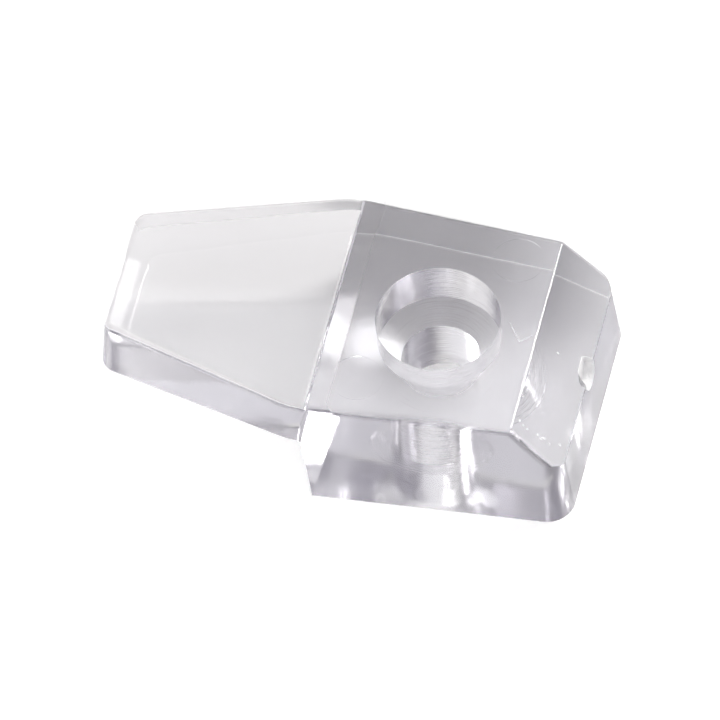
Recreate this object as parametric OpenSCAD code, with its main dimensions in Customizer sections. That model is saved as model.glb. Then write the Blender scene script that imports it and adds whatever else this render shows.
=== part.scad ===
// Clear moulded mirror clip: one piece of transparent plastic. A block with a flat back stands
// against the wall and takes one screw; a tongue, flush with the block's top, reaches over the
// edge of the glass and holds it.
//
// Frame (mm): the origin is on the back face (Z = 0) at the axis of the screw hole.
// +Z points out of the wall, the tongue points towards -X, the sloped end towards +X,
// and Y runs across the clip, which is symmetric about Y = 0 except for the moulding marks.

/* [Overall] */

// Height of the clip, from the back face to the flush top
clip_h = 9.95; // [8.0:0.05:13.0]
// Distance of the bottom edge of the end face from the screw axis
end_reach = 12.0; // [10.5:0.1:16.0]
// Distance of the top edge of the tongue's tip from the screw axis
tip_reach = 24.75; // [18.0:0.05:32.0]
// Lean of every outer wall from upright, in degrees, wider towards the back
draft = 5.6; // [2.0:0.1:8.0]

/* [Block] */

// Half of the block's top width, measured at the screw axis
block_half_w = 9.56; // [8.3:0.02:13.0]
// Angle in plan by which each long side of the block closes towards the end, in degrees
block_taper = 3.3; // [1.0:0.1:6.0]
// Distance of the heel (the face behind the glass) from the screw axis, at the tongue
heel_x = 8.42; // [7.2:0.02:11.0]
// How far the heel leans in under the block, from the tongue down to the back face
heel_lean = 0.72; // [0.2:0.02:1.2]

/* [Sloped end] */

// Distance of the ridge, where the slope starts, from the screw axis
ridge_x = 7.66; // [6.6:0.02:9.2]
// Height of the upright end face, at the foot of the slope
end_h = 5.5; // [3.6:0.05:6.6]
// Rounding of the ridge
ridge_r = 0.45; // [0.1:0.05:0.6]
// Rounding of the edge between the slope and the end face
foot_r = 0.6; // [0.2:0.05:1.0]

/* [Tongue] */

// Thickness of the tongue where it leaves the block
root_t = 3.86; // [2.6:0.02:4.8]
// Thickness of the tongue at its tip
tip_t = 4.95; // [3.0:0.05:5.6]
// Distance from the screw axis at which the sides turn in to form the tongue
shoulder_x = 8.9; // [7.6:0.1:12.0]
// Half of the tongue's top width at the tip
tip_half_w = 5.42; // [3.8:0.02:7.5]
// Rounding of the inner corner between the tongue and the heel
root_r = 0.35; // [0.1:0.05:0.8]

/* [Rounded edges] */

// Rounding of the edge that runs around the top
top_r = 0.65; // [0.2:0.05:1.0]
// Rounding of the tongue's two tip corners in plan, at the top
tip_corner_r = 1.1; // [0.8:0.1:2.0]
// Rounding of the two shoulder corners in plan, at the top
shoulder_r = 8.0; // [3.0:0.5:10.0]
// Rounding of the block's two end corners in plan, at the top
end_corner_r = 1.2; // [1.0:0.1:2.0]

/* [Screw hole] */

// Diameter of the counterbore that takes the screw's head
bore_d = 9.5; // [7.6:0.1:11.5]
// Depth of the counterbore
bore_depth = 3.74; // [2.8:0.02:4.6]
// Diameter of the hole for the screw's shank
shank_d = 6.05; // [4.4:0.05:7.0]
// Full angle of the conical seat between the two, in degrees
seat_angle = 104; // [80:1:130]

/* [Moulding marks] */

// Diameter of the round gate recess on the end
gate_d = 2.5; // [1.6:0.1:3.2]
// Depth of the gate recess into the end face
gate_depth = 0.7; // [0.4:0.05:1.2]
// Height of the gate recess's centre
gate_z = 5.3; // [3.0:0.05:5.6]
// Position of the gate recess across the clip
gate_y = 0.45; // [-4.0:0.05:4.0]
// Diameter of the two ejector pin marks on the top
pin_d = 4.0; // [2.5:0.1:4.6]
// Distance of each pin mark from the screw axis along the clip
pin_x = 4.75; // [4.3:0.05:5.2]
// Distance of each pin mark from the screw axis across the clip
pin_y = 6.5; // [5.6:0.05:6.7]
// Depth of the pin marks
pin_depth = 0.04; // [0.02:0.01:0.15]

/* [Hidden] */

$fn = 96;
far = 60;                                    // reaches past the clip on every side
flare = tan(draft);                          // outward run of a wall for each mm downwards
end_x = end_reach - flare * clip_h;          // end wall carried up to the level of the top
shoulder_w = block_half_w + shoulder_x * tan(block_taper);
tongue_taper = atan((shoulder_w - tip_half_w) / (tip_reach - shoulder_x));
foot_x = end_x + flare * (clip_h - end_h);   // top edge of the end face
slope = atan((clip_h - end_h) / (foot_x - ridge_x));
seat_h = (bore_d - shank_d) / 2 / tan(seat_angle / 2);
proud = 0.0015;                              // share of its radius by which a rounding
                                             // stands proud, to end in a clean edge

// What rounding takes off (or, in an inner corner, adds to) the corner p of a section. Seen
// from p the two edges run in the directions a and b, in degrees, counter-clockwise.
module edge_chip(p, a, b, r) {
    half = (b - a) / 2;
    mid = [cos((a + b) / 2), sin((a + b) / 2)];
    run = r / tan(half);
    centre = p + (1 - proud) * r / sin(half) * mid;
    difference() {
        polygon([
            p - 0.3 * r * mid, p + run * [cos(a), sin(a)],
            centre, p + run * [cos(b), sin(b)]
        ]);
        translate(centre) circle(r = r);
    }
}

// Section of an outer wall: what stays behind it, as far as the depth given. The wall and
// the top would meet at u = 0, and the section is carried on above and below the clip.
module wall_section(depth) {
    r = (1 - proud) * top_r;
    c = [-r * tan((90 - draft) / 2), clip_h - r];
    polygon([
        [-depth, -2], [flare * (clip_h + 2), -2],
        c + r * [cos(draft), sin(draft)],
        c, [c[0], clip_h + 2], [-depth, clip_h + 2]
    ]);
    translate(c) circle(r = top_r);
}

// What one wall takes off the stock: the wall's top edge passes through the point p and
// faces the direction given, in degrees from +X.
module outside_wall(p, facing) {
    translate([p[0], p[1], 0]) rotate([0, 0, facing]) rotate([90, 0, 0])
        linear_extrude(height = far, center = true) difference() {
            translate([-2, -1]) square([far / 2, clip_h + 2]);
            wall_section(3);
        }
}

// What a round corner in plan takes off. At p a wall that faces the direction a meets the
// next wall counter-clockwise, which faces b. It is the sector between them, less the wall
// section turned about the corner's centre.
module outside_corner(p, a, b, r) {
    half = (b - a) / 2;
    mid = [cos((a + b) / 2), sin((a + b) / 2)];
    c = p - (1 - proud) * r / cos(half) * mid;
    reach = (r + 3) / cos(half);
    translate([c[0], c[1], 0]) difference() {
        translate([0, 0, -1]) linear_extrude(height = clip_h + 2) polygon([
            [0, 0], reach * [cos(a), sin(a)], 1.5 * reach * mid, reach * [cos(b), sin(b)]
        ]);
        rotate_extrude() intersection() {
            translate([r, 0]) wall_section(r + 1);
            translate([0, -2]) square([r + 10, clip_h + 4]);
        }
    }
}

// Half width at the top of the block at a given x.
function side_w(x) = block_half_w - x * tan(block_taper);

// Outline in plan: six drafted walls and six round corners, with a rounded edge around the
// top, cut from a plain block that is a little taller than the clip. Each corner is [point,
// direction of the wall before, of the wall after, radius].
module outline_body() {
    side = 90 - block_taper;
    tongue = 90 + tongue_taper;
    corners = [
        [[end_x, side_w(end_x)], 0, side, end_corner_r],
        [[-shoulder_x, shoulder_w], side, tongue, shoulder_r],
        [[-tip_reach, tip_half_w], tongue, 180, tip_corner_r]
    ];
    difference() {
        translate([-tip_reach - 1, -shoulder_w - 2, -0.5])
            cube([tip_reach + end_reach + 2, 2 * shoulder_w + 4, clip_h + 1]);
        outside_wall([end_x, 0], 0);
        outside_wall([-tip_reach, 0], 180);
        for (m = [0, 1]) mirror([0, m, 0]) {
            outside_wall([0, block_half_w], side);
            outside_wall([-shoulder_x, shoulder_w], tongue);
            for (k = corners) outside_corner(k[0], k[1], k[2], k[3]);
        }
    }
}

// Side view: top, tongue, heel, back face and slope, carried past the tip and the end wall.
module side_view() {
    past = 2;
    tip_x = -tip_reach - past;
    tongue_fall = atan((tip_t - root_t) / (tip_reach - heel_x));
    root = [-heel_x, clip_h - root_t];
    difference() {
        union() {
            polygon([
                [tip_x, clip_h], [tip_x, root[1] - (root[0] - tip_x) * tan(tongue_fall)],
                root, [root[0] + heel_lean, 0],
                [end_reach + past, 0], [foot_x + past, end_h - past * tan(slope)],
                [ridge_x, clip_h]
            ]);
            edge_chip(root, 180 + tongue_fall, 270 + atan(heel_lean / root[1]), root_r);
        }
        edge_chip([ridge_x, clip_h], 180, 360 - slope, ridge_r);
        edge_chip([foot_x, end_h], 180 - slope, 270 + draft, foot_r);
    }
}

// What rounding takes off the long edge between the slope and the rear side wall.
module slope_edge_chip() {
    up = [sin(slope), 0, cos(slope)];
    out = [sin(block_taper) * cos(draft), cos(block_taper) * cos(draft), sin(draft)];
    along = cross(up, out) / norm(cross(up, out));
    inward = -(up + out) / norm(up + out);
    across = cross(along, inward);
    half = 90 - acos(up * out) / 2;
    multmatrix([
        [inward[0], across[0], along[0], ridge_x],
        [inward[1], across[1], along[1], side_w(ridge_x)],
        [inward[2], across[2], along[2], clip_h]
    ]) linear_extrude(height = 20, center = true) edge_chip([0, 0], -half, half, top_r);
}

// The block and the tongue, one solid, before the hole and the marks.
module clip_body() {
    difference() {
        intersection() {
            outline_body();
            rotate([90, 0, 0]) linear_extrude(height = 2 * far, center = true) side_view();
        }
        slope_edge_chip();
        mirror([0, 1, 0]) slope_edge_chip();
    }
}

// Counterbore for the head, conical seat, and the hole through to the back.
module screw_hole() {
    translate([0, 0, clip_h - bore_depth]) cylinder(d = bore_d, h = bore_depth + 1);
    translate([0, 0, clip_h - bore_depth - seat_h])
        cylinder(d1 = shank_d, d2 = bore_d, h = seat_h);
    translate([0, 0, -1]) cylinder(d = shank_d, h = clip_h);
}

// Two shallow marks left by the ejector pins, diagonally opposite each other on the top.
module pin_marks() {
    for (s = [-1, 1]) translate([s * pin_x, s * pin_y, clip_h - pin_depth])
        cylinder(d = pin_d, h = 1);
}

// Round recess where the gate was broken off, across the foot of the slope.
module gate_recess() {
    translate([foot_x - gate_depth, gate_y, gate_z]) rotate([0, 90, 0])
        cylinder(d = gate_d, h = 5);
}

module mirror_clip() {
    color([0.93, 0.94, 0.95, 0.4]) difference() {
        clip_body();
        screw_hole();
        pin_marks();
        gate_recess();
    }
}

mirror_clip();
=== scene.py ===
import bmesh
import bpy
import math
from mathutils import Matrix, Vector
from types import SimpleNamespace

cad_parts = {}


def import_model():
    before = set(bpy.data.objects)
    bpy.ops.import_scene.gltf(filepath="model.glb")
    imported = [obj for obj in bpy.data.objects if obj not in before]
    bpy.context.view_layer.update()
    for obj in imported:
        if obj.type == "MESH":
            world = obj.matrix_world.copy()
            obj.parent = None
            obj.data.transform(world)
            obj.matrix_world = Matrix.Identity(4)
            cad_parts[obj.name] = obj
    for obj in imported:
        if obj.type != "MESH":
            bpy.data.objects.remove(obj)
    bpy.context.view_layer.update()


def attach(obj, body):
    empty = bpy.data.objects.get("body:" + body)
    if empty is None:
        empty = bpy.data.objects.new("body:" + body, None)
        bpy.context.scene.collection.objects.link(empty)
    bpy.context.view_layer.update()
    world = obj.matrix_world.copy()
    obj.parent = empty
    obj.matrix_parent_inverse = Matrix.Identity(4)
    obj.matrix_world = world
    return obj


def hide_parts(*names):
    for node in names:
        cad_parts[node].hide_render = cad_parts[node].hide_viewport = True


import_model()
scene = bpy.context.scene

# Sizes of the clip, in millimetres and degrees, as in the CAD model.
CLIP_H = 9.95
END_REACH, TIP_REACH, DRAFT = 12.0, 24.75, 5.6
BLOCK_HALF_W, BLOCK_TAPER = 9.56, 3.3
HEEL_X, HEEL_LEAN = 8.42, 0.72
RIDGE_X, END_H, RIDGE_R, FOOT_R = 7.66, 5.5, 0.45, 0.6
ROOT_T, TIP_T, ROOT_R = 3.86, 4.95, 0.35
SHOULDER_X, TIP_HALF_W = 8.9, 5.42
TOP_R, TIP_CORNER_R, SHOULDER_R, END_CORNER_R = 0.65, 1.1, 8.0, 1.2
BORE_D, BORE_DEPTH, SHANK_D, SEAT_ANGLE = 9.5, 3.74, 6.05, 104.0
GATE_D, GATE_DEPTH, GATE_Z, GATE_Y = 2.5, 0.7, 5.3, 0.45
PIN_D, PIN_X, PIN_Y, PIN_DEPTH = 4.0, 4.75, 6.5, 0.04

FLARE = math.tan(math.radians(DRAFT))
END_X = END_REACH - FLARE * CLIP_H
SIDE = math.tan(math.radians(BLOCK_TAPER))
SHOULDER_W = BLOCK_HALF_W + SHOULDER_X * SIDE
TONGUE_TAPER = math.degrees(math.atan((SHOULDER_W - TIP_HALF_W) / (TIP_REACH - SHOULDER_X)))
FOOT_X = END_X + FLARE * (CLIP_H - END_H)
SLOPE = math.atan((CLIP_H - END_H) / (FOOT_X - RIDGE_X))
SEAT_H = (BORE_D - SHANK_D) / 2 / math.tan(math.radians(SEAT_ANGLE / 2))

# Steps in the rounds, and sides of what is turned.
CORNER_STEPS, SHOULDER_STEPS, TOP_STEPS, ROUND_STEPS = 24, 16, 16, 12
HOLE_SIDES, MARK_SIDES = 240, 96
# Cutters, in millimetres: half their width across the clip, half their length along a
# sloping edge, and how far they reach past the clip's end and past a face.
ACROSS, EDGE_HALF, PAST, CLEAR = 15.0, 10.0, 3.0, 1.0
# Shares of its radius by which a rounding stands proud and its cutter reaches past the edge.
PROUD, BEYOND = 0.0015, 0.3
# Points closer than this many millimetres are merged; edges that turn by less than this many
# degrees are smooth.
MERGE, SMOOTH_BELOW = 1e-4, 20.0
MM = 0.001

# Depths of the surface's relief, in metres.
WAVES, RIPPLES, DRAG, TURNING, GATE_ROUGH = 4e-5, 3e-6, 1.6e-5, 2.5e-5, 1.2e-4
# Its noise: scale per millimetre, detail and roughness. Drag marks are stretched in x, y and
# z, turning marks in z, radius and angle.
WAVE_NOISE, RIPPLE_NOISE, GATE_NOISE = (0.22, 1.0), (1.4, 2.0), (4.5, 3.0, 0.6)
DRAG_STRETCH, DRAG_NOISE = (9.0, 9.0, 0.25), (1.0, 3.0, 0.65)
RING_STRETCH, RING_NOISE = (9.0, 9.0, 0.8), (1.0, 2.0, 0.6)
# Where each finish fades in, from none to full, in millimetres: the screw hole by radius, the
# gate by radius and by x, the back by height, the waves by distance from the ridge.
HOLE_ZONE = (BORE_D / 2 + 0.05, BORE_D / 2 + 0.01)
GATE_ZONE = (GATE_D / 2 + 0.04, GATE_D / 2 + 0.01)
GATE_ZONE_X = (FOOT_X - GATE_DEPTH - 0.1, FOOT_X - GATE_DEPTH - 0.05)
BACK_ZONE, WAVE_ZONE = (0.02, 0.01), (0.5, 2.0)
WALL_ZONE = (0.45, 0.25)          # upward part of the direction in which the face looks
TONGUE_ZONE, BLOCK_DRAG = (-9.0, -10.0), 0.25     # x, and the block's share of drag marks
# Roughness of each zone.
BACK_ROUGH, WALL_ROUGH, GATE_MATT, HOLE_ROUGH = 0.12, 0.05, 0.4, 0.05
# Whitening: of the gate, mottled by a noise; of scuffs along the turning marks, where their
# noise is high; and of all marks at most.
WHITE_NOISE, WHITE_RANGE, GATE_WHITE = (4.0, 3.0, 0.6), (-0.2, 0.2), (0.45, 0.9)
SCUFF_RANGE, SCUFF_WHITE, MOST_WHITE = (0.05, 0.25), 0.12, 0.95
# White nicks on the slope, and the corners of a scratch on the top, in millimetres; their
# widths, and the height above which they show.
NICKS = [(8.05, -7.66), (8.35, -7.8), (8.63, -7.85), (9.39, -7.62), (9.62, -7.7),
         (9.8, -7.5), (10.2, -7.62), (10.87, -7.01), (9.23, -0.07)]
SCRATCH = [(5.4, 0.76), (6.5, -0.85), (7.3, -0.2)]
NICK_W, NICK_CORE, SCRATCH_W, MARK_ZONE = 0.10, 0.02, 0.06, (5.3, 5.4)
MARK_WHITE, SCRATCH_SHARE = 0.9, 0.5
# Index of refraction, and absorption: its colour and its density per metre.
IOR, ABSORB_COLOUR, ABSORB = 1.49, (0.485, 0.465, 0.54), 38.0

# Floor, in metres: its size, its height just under the clip, its colour, and the glow that
# it shows to the eye.
FLOOR_SIZE, FLOOR_Z = 4.0, -0.00004
FLOOR, GLOW = (0.86, 0.86, 0.855), 0.44
# Painted shade: the glow drops to SHADED_GLOW round a spot behind the block. A painted pool
# of light, standing in for a caustic, lies beside the heel.
SHADED_GLOW, SHADE_AT, SHADE_FADES = 0.0, (-0.0045, 0.0095), (0.0035, 0.0162)
PAINTED_SPOT_AT, PAINTED_SPOT_FADES, PAINTED_SPOT = (-0.0056, 0.0011), (0.0030, 0.0008), 0.60
# Painted shade lowers the glow under the tongue too, between heel and tip (x) and between fore
# and rear edge (y), which part by TONGUE_SPREAD towards the block. The two glows there are
# painted light that makes up for the clip's own shadow, whose edge is SHADOW_LINE (y), turned
# by SHADOW_TURN.
HEEL_LINE, TIP_LINE = (-0.0082, -0.0090), (-0.0272, -0.0262)
FORE_LINE, REAR_LINE, TONGUE_SPREAD = (-0.0085, -0.0063), (0.0204, 0.0188), 0.27
TONGUE_GLOW, SHADOW_LINE, SHADOW_TURN = (0.25, 0.01), (0.0064, 0.0099), 0.2

# Patches of the studio: direction (azimuth, elevation), half width in degrees of the full
# patch and of its soft edge, brightness.
WORLD_LEVEL = (0.27, 0.258, 0.282)
PATCHES = [
    (-105, 56, 20, 52, (1.08, 1.07, 1.10)),     # front sky
    (-20, 34, 8, 26, (1.15, 1.14, 1.11)),       # right side
    (-60, 20, 4, 13, (1.25, 1.23, 1.16)),       # seen in the tongue's tip
    (80, 50, 9, 40, (1.00, 0.99, 1.01)),        # back wall
    (117, 32, 6, 16, (1.10, 1.10, 1.03)),       # low part of the back wall
    (56, 47, 6, 11, (10.0, 9.9, 9.6)),          # key light
    (50, 41, 7, 13, (10.0, 9.9, 9.6)),          # key light, lower part
]
# Strip lamp that the ridge reflects: ranges of x, y and z of its direction, and brightness.
STRIP_X, STRIP_Y = (0.09, 0.15, 0.69, 0.76), (0.528, 0.542, 0.574, 0.588)
STRIP_Z, STRIP = (0.0, 0.05), (28.0, 27.7, 27.0)

# Camera fitted to the photo: its axes and place (metres), sensor and lens (millimetres).
CAMERA_AXES = (Vector((0.97224565, 0.22847849, -0.05035850)),
               Vector((-0.15721163, 0.79739694, 0.58261705)),
               Vector((0.17327118, -0.55852995, 0.81118518)))
CAMERA_AT = Vector((0.17758731, -0.59309323, 0.86427927))
SENSOR, LENS, CLIP_NEAR, CLIP_FAR = 36.0, 700.0, 0.1, 10.0
BOUNCES = 20


def unit(degrees):
    """Unit vector in the plane, at this angle."""
    a = math.radians(degrees)
    return Vector((math.cos(a), math.sin(a)))


def solid(name, verts, faces):
    """New mesh object, its faces turned outwards."""
    mesh = bpy.data.meshes.new(name)
    mesh.from_pydata([tuple(v) for v in verts], [], faces)
    mesh.validate()
    bm = bmesh.new()
    bm.from_mesh(mesh)
    bmesh.ops.recalc_face_normals(bm, faces=bm.faces)
    bm.to_mesh(mesh)
    bm.free()
    obj = bpy.data.objects.new(name, mesh)
    scene.collection.objects.link(obj)
    return obj


def loft(name, rings):
    """Closed solid through rings of equally many points, with flat ends."""
    n = len(rings[0])
    verts = [v for ring in rings for v in ring]
    faces = []
    for k in range(len(rings) - 1):
        for i in range(n):
            j = (i + 1) % n
            faces.append((k * n + i, k * n + j, (k + 1) * n + j, (k + 1) * n + i))
    faces.append(tuple(range(n))[::-1])
    faces.append(tuple((len(rings) - 1) * n + i for i in range(n)))
    return solid(name, verts, faces)


def prism(name, outline, place):
    """Prism of a flat outline; place(u, v, end) gives the point at either end."""
    return loft(name, [[place(u, v, end) for u, v in outline] for end in (-1, 1)])


def crosswise(u, v, end):
    """Places a side view's outline right across the clip."""
    return (u, end * ACROSS, v)


def turned(name, profile, sides, centre=(0.0, 0.0), axis="Z"):
    """Solid turned about an axis through centre; profile is (radius, height) pairs."""
    rings = []
    for r, h in profile:
        ring = []
        for i in range(sides):
            a = 2 * math.pi * (i + 0.5) / sides
            u, v = centre[0] + r * math.cos(a), centre[1] + r * math.sin(a)
            ring.append((u, v, h) if axis == "Z" else (h, u, v))
        rings.append(ring)
    return loft(name, rings)


def apply_modifiers(obj):
    """Gives obj the mesh that its modifiers make, and drops them."""
    bpy.context.view_layer.update()
    mesh = bpy.data.meshes.new_from_object(
        obj.evaluated_get(bpy.context.evaluated_depsgraph_get()))
    obj.modifiers.clear()
    old, obj.data = obj.data, mesh
    bpy.data.meshes.remove(old)


def cut(obj, cutter):
    """Cuts the cutter out of obj and removes it."""
    mod = obj.modifiers.new("cut", "BOOLEAN")
    mod.operation = "DIFFERENCE"
    mod.solver = "MANIFOLD"
    mod.object = cutter
    apply_modifiers(obj)
    bpy.data.objects.remove(cutter)


def fillet(p, a, b, r):
    """Outline of what rounding takes off the corner p, whose edges run in directions a, b."""
    half = math.radians(b - a) / 2
    mid = unit((a + b) / 2)
    p = Vector(p)
    centre = p + mid * ((1 - PROUD) * r / math.sin(half))
    give = math.degrees(math.acos(1 - PROUD))
    first, last = a - 90 - give, b + 90 + give - 360
    arc = [centre + unit(first + (last - first) * i / ROUND_STEPS) * r
           for i in range(ROUND_STEPS + 1)]
    return [p - mid * (BEYOND * r)] + arc


def plan_outline():
    """Points of the top outline before rounding, each with its outward direction."""
    side, tongue = 90 - BLOCK_TAPER, 90 + TONGUE_TAPER
    half = [
        ((END_X, BLOCK_HALF_W - END_X * SIDE), 0, side, END_CORNER_R, CORNER_STEPS),
        ((-SHOULDER_X, SHOULDER_W), side, tongue, SHOULDER_R, SHOULDER_STEPS),
        ((-TIP_REACH, TIP_HALF_W), tongue, 180, TIP_CORNER_R, CORNER_STEPS),
    ]
    points = []
    for p, a, b, r, steps in half:
        h = math.radians(b - a) / 2
        c = Vector(p) - unit((a + b) / 2) * (r / math.cos(h))
        for i in range(steps + 1):
            n = unit(a + (b - a) * i / steps)
            points.append((c + n * r, n))
    for p, n in points[::-1]:
        points.append((Vector((p.x, -p.y)), Vector((n.x, -n.y))))
    return points


def wall_profile():
    """Offset and height down an outer wall: rounded top edge, then the drafted face."""
    run = TOP_R * math.tan(math.radians((90 - DRAFT) / 2))
    out = []
    for i in range(TOP_STEPS + 1):
        a = math.radians(90 + (DRAFT - 90) * i / TOP_STEPS)
        out.append((-run + TOP_R * math.cos(a), CLIP_H - TOP_R + TOP_R * math.sin(a)))
    return out + [(FLARE * CLIP_H, 0.0)]


def outer_body():
    """All that the outer walls enclose, at full height, with the top edge rounded."""
    outline = plan_outline()
    return loft("clip", [[(p.x + n.x * o, p.y + n.y * o, z) for p, n in outline]
                         for o, z in wall_profile()])


def cut_glass_space(body):
    """Under the tongue: space for the glass, with a small round at the root."""
    fall = math.atan((TIP_T - ROOT_T) / (TIP_REACH - HEEL_X))
    root = Vector((-HEEL_X, CLIP_H - ROOT_T))
    heel = math.atan(HEEL_LEAN / root.y)
    far_x = -TIP_REACH - PAST
    to_tip, to_foot = 180 + math.degrees(fall), 270 + math.degrees(heel)
    half = math.radians(to_foot - to_tip) / 2
    centre = root + unit((to_tip + to_foot) / 2) * (ROOT_R / math.sin(half))
    turn = to_foot - to_tip - 180
    arc = [centre + unit(to_tip - 90 + turn * i / ROUND_STEPS) * ROOT_R
           for i in range(ROUND_STEPS + 1)]
    space = [Vector((far_x, -CLEAR)),
             Vector((far_x, root.y - (root.x - far_x) * math.tan(fall)))]
    space += arc + [Vector((root.x + math.tan(heel) * (root.y + CLEAR), -CLEAR))]
    cut(body, prism("space", space, crosswise))


def cut_slope(body):
    """The slope at the end, with its ridge and foot rounded."""
    down = Vector((math.cos(SLOPE), -math.sin(SLOPE)))
    ridge, foot = Vector((RIDGE_X, CLIP_H)), Vector((FOOT_X, END_H))
    far = Vector((FOOT_X + PAST + CLEAR, CLIP_H + PAST))
    cut(body, prism("slope", [ridge - down * PAST, foot + down * PAST, far], crosswise))
    s = math.degrees(SLOPE)
    cut(body, prism("ridge", fillet(ridge, 180, 360 - s, RIDGE_R), crosswise))
    cut(body, prism("foot", fillet(foot, 180 - s, 270 + DRAFT, FOOT_R), crosswise))


def round_slope_edges(body):
    """Rounds the long edges between the slope and the two side walls."""
    up = Vector((math.sin(SLOPE), 0, math.cos(SLOPE)))
    d, t = math.radians(DRAFT), math.radians(BLOCK_TAPER)
    for m in (1, -1):
        out = Vector((math.sin(t) * math.cos(d), m * math.cos(t) * math.cos(d), math.sin(d)))
        along = up.cross(out).normalized()
        inward = -(up + out).normalized()
        across = along.cross(inward)
        h = 90 - math.degrees(up.angle(out)) / 2
        at = Vector((RIDGE_X, m * (BLOCK_HALF_W - RIDGE_X * SIDE), CLIP_H))
        cut(body, prism("edge", fillet((0, 0), -h, h, TOP_R),
                        lambda u, v, e: at + inward * u + across * v + along * (e * EDGE_HALF)))


def cut_holes(body):
    """Screw hole, ejector pin marks and the gate recess."""
    bore, shank, pin, gate = BORE_D / 2, SHANK_D / 2, PIN_D / 2, GATE_D / 2
    seat_z, over = CLIP_H - BORE_DEPTH, CLIP_H + CLEAR
    cut(body, turned("hole", [(shank, -CLEAR), (shank, seat_z - SEAT_H), (bore, seat_z),
                              (bore, over)], HOLE_SIDES))
    for m in (1, -1):
        cut(body, turned("pin", [(pin, CLIP_H - PIN_DEPTH), (pin, over)], MARK_SIDES,
                         centre=(m * PIN_X, m * PIN_Y)))
    cut(body, turned("gate", [(gate, FOOT_X - GATE_DEPTH), (gate, FOOT_X + PAST)], MARK_SIDES,
                     centre=(GATE_Y, GATE_Z), axis="X"))


def clip_mesh():
    """The whole moulding, in millimetres."""
    body = outer_body()
    cut_glass_space(body)
    cut_slope(body)
    round_slope_edges(body)
    cut_holes(body)
    return body


def finish_mesh(obj):
    """Scales to metres, merges slivers, and shades curved faces smooth and flat ones flat."""
    bm = bmesh.new()
    bm.from_mesh(obj.data)
    bmesh.ops.remove_doubles(bm, verts=bm.verts, dist=MERGE)
    bmesh.ops.dissolve_degenerate(bm, edges=bm.edges, dist=MERGE)
    bmesh.ops.triangulate(bm, faces=[f for f in bm.faces if len(f.verts) > 4])
    open_edges = sum(1 for e in bm.edges if len(e.link_faces) != 2)
    for f in bm.faces:
        f.smooth = True
    for e in bm.edges:
        e.smooth = len(e.link_faces) == 2 and e.calc_face_angle(0) < math.radians(SMOOTH_BELOW)
    bmesh.ops.scale(bm, vec=(MM, MM, MM), verts=bm.verts)
    bm.to_mesh(obj.data)
    bm.free()
    print("clip mesh:", len(obj.data.vertices), "vertices,", open_edges, "open edges")
    mod = obj.modifiers.new("flat faces", "WEIGHTED_NORMAL")
    mod.mode = "FACE_AREA"
    mod.weight = 100
    mod.keep_sharp = True
    apply_modifiers(obj)


class Nodes:
    """Small helper that writes maths as nodes. Values are sockets or plain numbers."""

    def __init__(self, tree):
        self.tree = tree

    def put(self, kind, inputs=(), out=0, **settings):
        """Adds a node with these inputs and settings, and gives the output named by out."""
        node = self.tree.nodes.new(kind)
        for k, v in settings.items():
            setattr(node, k, v)
        for key, value in (inputs.items() if isinstance(inputs, dict) else enumerate(inputs)):
            if isinstance(value, bpy.types.NodeSocket):
                self.tree.links.new(value, node.inputs[key])
            elif value is not None:
                node.inputs[key].default_value = value
        return node.outputs[out]

    def math(self, op, a, b=None):
        return self.put("ShaderNodeMath", [a, b], operation=op)

    def vector(self, op, a, b, out=0):
        return self.put("ShaderNodeVectorMath", [a, b], out=out, operation=op)

    def scaled(self, vector, factor):
        return self.put("ShaderNodeVectorMath", {0: vector, "Scale": factor},
                        operation="SCALE")

    def fold(self, op, values):
        """Works through the values with op, two at a time."""
        total = values[0]
        for v in values[1:]:
            total = self.math(op, total, v)
        return total

    def add(self, *values):
        return self.fold("ADD", values)

    def mul(self, *values):
        return self.fold("MULTIPLY", values)

    def most(self, *values):
        return self.fold("MAXIMUM", values)

    def sub(self, a, b):
        return self.math("SUBTRACT", a, b)

    def hypot(self, a, b):
        return self.math("SQRT", self.add(self.mul(a, a), self.mul(b, b)))

    def smooth(self, value, low, high, a=0.0, b=1.0):
        """From a at low to b at high, smoothly."""
        return self.put("ShaderNodeMapRange", [value, low, high, a, b],
                        interpolation_type="SMOOTHSTEP")

    def step(self, value, low, high, a=0.0, b=1.0):
        """From a at low to b at high, evenly."""
        return self.put("ShaderNodeMapRange", [value, low, high, a, b])

    def split(self, vector):
        return self.put("ShaderNodeSeparateXYZ", [vector]).node.outputs

    def join(self, *parts):
        return self.put("ShaderNodeCombineXYZ", parts)

    def off_point(self, place, at):
        """Distance from the point at."""
        return self.vector("DISTANCE", place, (*at, 0.0), out=1)

    def off_line(self, place, a, b):
        """Distance from the line between the points a and b."""
        ab = Vector((b[0] - a[0], b[1] - a[1], 0.0))
        rel = self.vector("SUBTRACT", place, (*a, 0.0))
        along = self.vector("DOT_PRODUCT", rel, tuple(ab / ab.length_squared), out=1)
        foot = self.scaled(tuple(ab), self.step(along, 0.0, 1.0))
        return self.vector("DISTANCE", rel, foot, out=1)

    def noise(self, vector, scale, detail=2.0, rough=0.5):
        """Noise from about -0.5 to 0.5."""
        return self.sub(self.put("ShaderNodeTexNoise", {
            "Vector": vector, "Scale": scale, "Detail": detail, "Roughness": rough}), 0.5)

    def stretched_noise(self, parts, stretch, noise):
        """Noise of three values, each stretched by its own factor."""
        return self.noise(self.join(*[self.mul(p, s) for p, s in zip(parts, stretch)]), *noise)


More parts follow.
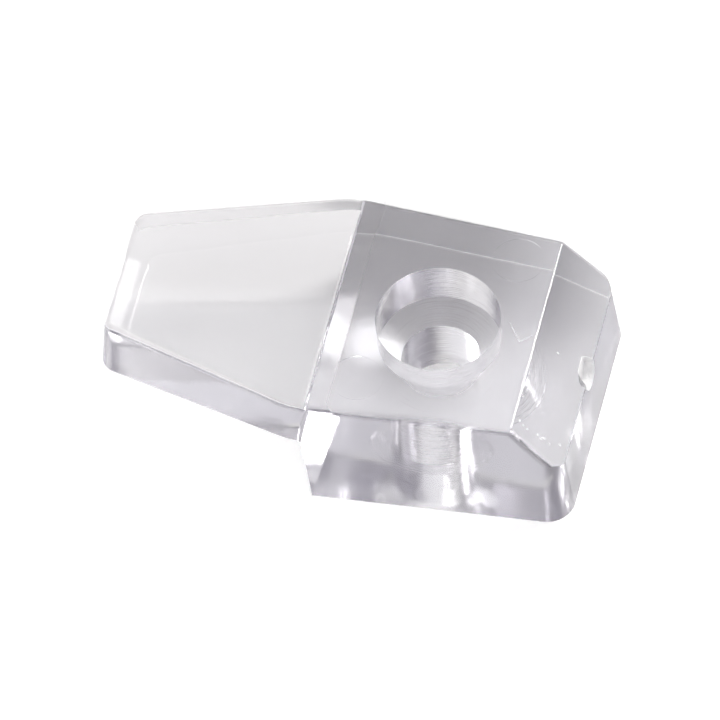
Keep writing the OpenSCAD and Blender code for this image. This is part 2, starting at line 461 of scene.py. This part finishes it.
def zones(n):
    """Place on the clip in millimetres, and the zones of its finish, each from 0 to 1."""
    mm = n.scaled(n.put("ShaderNodeTexCoord", out="Object"), 1 / MM)
    x, y, z = n.split(mm)
    looks = n.split(n.put("ShaderNodeNewGeometry", out="True Normal"))
    radius = n.hypot(x, y)
    in_hole = n.step(radius, *HOLE_ZONE)
    off_gate = n.hypot(n.sub(y, GATE_Y), n.sub(z, GATE_Z))
    return SimpleNamespace(
        mm=mm, x=x, y=y, z=z, radius=radius, in_hole=in_hole,
        on_wall=n.mul(n.smooth(n.math("ABSOLUTE", looks[2]), *WALL_ZONE), n.sub(1.0, in_hole)),
        in_gate=n.mul(n.step(off_gate, *GATE_ZONE), n.step(x, *GATE_ZONE_X)),
        on_back=n.step(z, *BACK_ZONE))


def relief(n, at, rings):
    """Height of everything that the mould left on the surface, in metres."""
    # Slow waviness of every moulded face, which dies out towards the ridge.
    off_ridge = n.smooth(n.math("ABSOLUTE", n.sub(at.x, RIDGE_X)), *WAVE_ZONE)
    waves = n.mul(n.noise(at.mm, *WAVE_NOISE), off_ridge, WAVES)
    ripples = n.mul(n.noise(at.mm, *RIPPLE_NOISE), RIPPLES)
    # Drag marks down the drafted walls, left as the clip came out of its mould.
    streaks = n.stretched_noise((at.x, at.y, at.z), DRAG_STRETCH, DRAG_NOISE)
    share = n.smooth(at.x, *TONGUE_ZONE, BLOCK_DRAG, 1.0)
    drag = n.mul(streaks, DRAG, at.on_wall, share)
    turning = n.mul(rings, TURNING, at.in_hole)
    gate = n.mul(n.noise(at.mm, *GATE_NOISE), GATE_ROUGH, at.in_gate)
    return n.add(waves, ripples, drag, turning, gate)


def whitening(n, at, rings):
    """Share of the surface that is white instead of clear."""
    mottle = n.step(n.noise(at.mm, *WHITE_NOISE), *WHITE_RANGE, *GATE_WHITE)
    scuffs = n.mul(at.in_hole, n.smooth(rings, *SCUFF_RANGE), SCUFF_WHITE)
    flat = n.join(at.x, at.y, 0.0)
    marks = [n.smooth(n.off_point(flat, nick), NICK_W, NICK_CORE) for nick in NICKS]
    marks += [n.smooth(n.off_line(flat, a, b), SCRATCH_W, 0.0, 0.0, SCRATCH_SHARE)
              for a, b in zip(SCRATCH, SCRATCH[1:])]
    shown = n.mul(n.add(*marks), n.step(at.z, *MARK_ZONE), MARK_WHITE)
    return n.math("MINIMUM", MOST_WHITE, n.add(n.mul(at.in_gate, mottle), scuffs, shown))


def clear_plastic():
    """Clear acrylic with the marks of its mould, and a body that absorbs a little."""
    mat = bpy.data.materials.new("clear_plastic")
    mat.use_nodes = True
    nt = mat.node_tree
    bsdf = nt.nodes["Principled BSDF"]
    bsdf.inputs["Base Color"].default_value = (1.0, 1.0, 1.0, 1.0)
    bsdf.inputs["IOR"].default_value = IOR
    bsdf.inputs["Transmission Weight"].default_value = 1.0
    n = Nodes(nt)
    at = zones(n)
    # Turning marks of the core pin that formed the counterbore and its seat.
    rings = n.stretched_noise((at.z, at.radius, n.math("ARCTAN2", at.y, at.x)),
                              RING_STRETCH, RING_NOISE)
    bump = n.put("ShaderNodeBump", {"Strength": 1.0, "Distance": 1.0,
                                    "Height": relief(n, at, rings)})
    nt.links.new(bump, bsdf.inputs["Normal"])
    rough = n.add(n.mul(at.on_wall, WALL_ROUGH), n.mul(at.on_back, BACK_ROUGH),
                  n.mul(at.in_gate, GATE_MATT), n.mul(at.in_hole, HOLE_ROUGH))
    nt.links.new(rough, bsdf.inputs["Roughness"])
    clear = n.sub(1.0, whitening(n, at, rings))
    nt.links.new(clear, bsdf.inputs["Transmission Weight"])
    body = n.put("ShaderNodeVolumeAbsorption", {"Color": (*ABSORB_COLOUR, 1.0),
                                                "Density": ABSORB})
    nt.links.new(body, nt.nodes["Material Output"].inputs["Volume"])
    return mat


def floor():
    """White paper that glows to the eye, in mirrors and through glass, with painted shade and
    light in it.
    """
    bpy.ops.mesh.primitive_plane_add(size=FLOOR_SIZE, location=(0, 0, FLOOR_Z))
    o = bpy.context.object
    o.name = "floor"
    mat = bpy.data.materials.new("floor")
    mat.use_nodes = True
    nt = mat.node_tree
    b = nt.nodes["Principled BSDF"]
    b.inputs["Base Color"].default_value = (*FLOOR, 1.0)
    b.inputs["Roughness"].default_value = 1.0
    b.inputs["Specular IOR Level"].default_value = 0.0
    b.inputs["Emission Color"].default_value = (1.0, 1.0, 1.0, 1.0)
    n = Nodes(nt)
    path = n.put("ShaderNodeLightPath").node.outputs
    seen = n.most(path["Is Camera Ray"], path["Is Glossy Ray"], path["Is Transmission Ray"])
    place = n.put("ShaderNodeTexCoord", out="Object")
    x, y, z = n.split(place)
    behind_heel = n.smooth(x, *HEEL_LINE)
    # Painted shade: the glow is lower round SHADE_AT, on the block's side of the heel.
    lit = n.most(n.smooth(n.off_point(place, SHADE_AT), *SHADE_FADES), behind_heel)
    spread = n.mul(x, TONGUE_SPREAD)
    # Painted shade under the tongue, less of it where painted light fills in the clip's own
    # shadow.
    under = n.mul(behind_heel, n.smooth(x, *TIP_LINE), n.smooth(n.add(y, spread), *FORE_LINE),
                  n.smooth(n.sub(y, spread), *REAR_LINE))
    tongue_shade = n.smooth(n.sub(y, n.mul(x, SHADOW_TURN)), *SHADOW_LINE,
                     GLOW - TONGUE_GLOW[0], GLOW - TONGUE_GLOW[1])
    # Painted pool of light beside the heel.
    spot = n.smooth(n.off_point(place, PAINTED_SPOT_AT), *PAINTED_SPOT_FADES, 0.0, PAINTED_SPOT)
    # Even glow, with the painted shade and the painted pool of light.
    glow = n.add(n.step(lit, 0.0, 1.0, SHADED_GLOW, GLOW), n.mul(under, tongue_shade, -1.0), spot)
    nt.links.new(n.mul(seen, glow), b.inputs["Emission Strength"])
    o.data.materials.append(mat)


def direction(azimuth, elevation):
    """Unit vector towards this direction, in degrees."""
    a, e = math.radians(azimuth), math.radians(elevation)
    return (math.cos(a) * math.cos(e), math.sin(a) * math.cos(e), math.sin(e))


def blend(n, share, below, colour):
    """Covers the colour below with a share of another colour."""
    node = n.tree.nodes.new("ShaderNodeMix")
    node.data_type = "RGBA"
    n.tree.links.new(share, node.inputs["Factor"])
    n.tree.links.new(below, node.inputs[6])             # colour A
    node.inputs[7].default_value = (*colour, 1.0)       # colour B
    return node.outputs[2]                              # colour


def world():
    """Studio: an even level with soft bright patches and a strip lamp."""
    w = bpy.data.worlds.new("studio")
    scene.world = w
    w.use_nodes = True
    nt = w.node_tree
    bg = nt.nodes["Background"]
    bg.inputs["Strength"].default_value = 1.0
    n = Nodes(nt)
    look = n.put("ShaderNodeTexCoord", out="Generated")
    level = nt.nodes.new("ShaderNodeRGB").outputs[0]
    level.default_value = (*WORLD_LEVEL, 1.0)
    for azimuth, elevation, full, edge, colour in PATCHES:
        near = n.vector("DOT_PRODUCT", look, direction(azimuth, elevation), out=1)
        share = n.smooth(near, math.cos(math.radians(edge)), math.cos(math.radians(full)))
        level = blend(n, share, level, colour)
    x, y, z = n.split(look)
    share = n.mul(n.smooth(x, *STRIP_X[:2]), n.smooth(x, *STRIP_X[:1:-1]),
                  n.smooth(y, *STRIP_Y[:2]), n.smooth(y, *STRIP_Y[:1:-1]), n.step(z, *STRIP_Z))
    nt.links.new(blend(n, share, level, STRIP), bg.inputs["Color"])


def camera():
    """The photo's camera."""
    data = bpy.data.cameras.new("photo")
    cam = bpy.data.objects.new("photo", data)
    scene.collection.objects.link(cam)
    data.sensor_width, data.lens = SENSOR, LENS
    data.clip_start, data.clip_end = CLIP_NEAR, CLIP_FAR
    m = Matrix(CAMERA_AXES).transposed().to_4x4()
    m.translation = CAMERA_AT
    cam.matrix_world = m
    scene.camera = cam


def render_settings():
    """Plain tones, and enough bounces for light inside the plastic."""
    scene.view_settings.view_transform = "Standard"
    c = scene.cycles
    c.max_bounces = BOUNCES
    c.glossy_bounces = BOUNCES
    c.transmission_bounces = BOUNCES
    c.transparent_max_bounces = BOUNCES


mat = clear_plastic()
piece = clip_mesh()
piece.name = "clip"
finish_mesh(piece)
piece.data.materials.clear()
piece.data.materials.append(mat)
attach(piece, "root")
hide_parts("mirror_clip")
floor()
world()
camera()
render_settings()
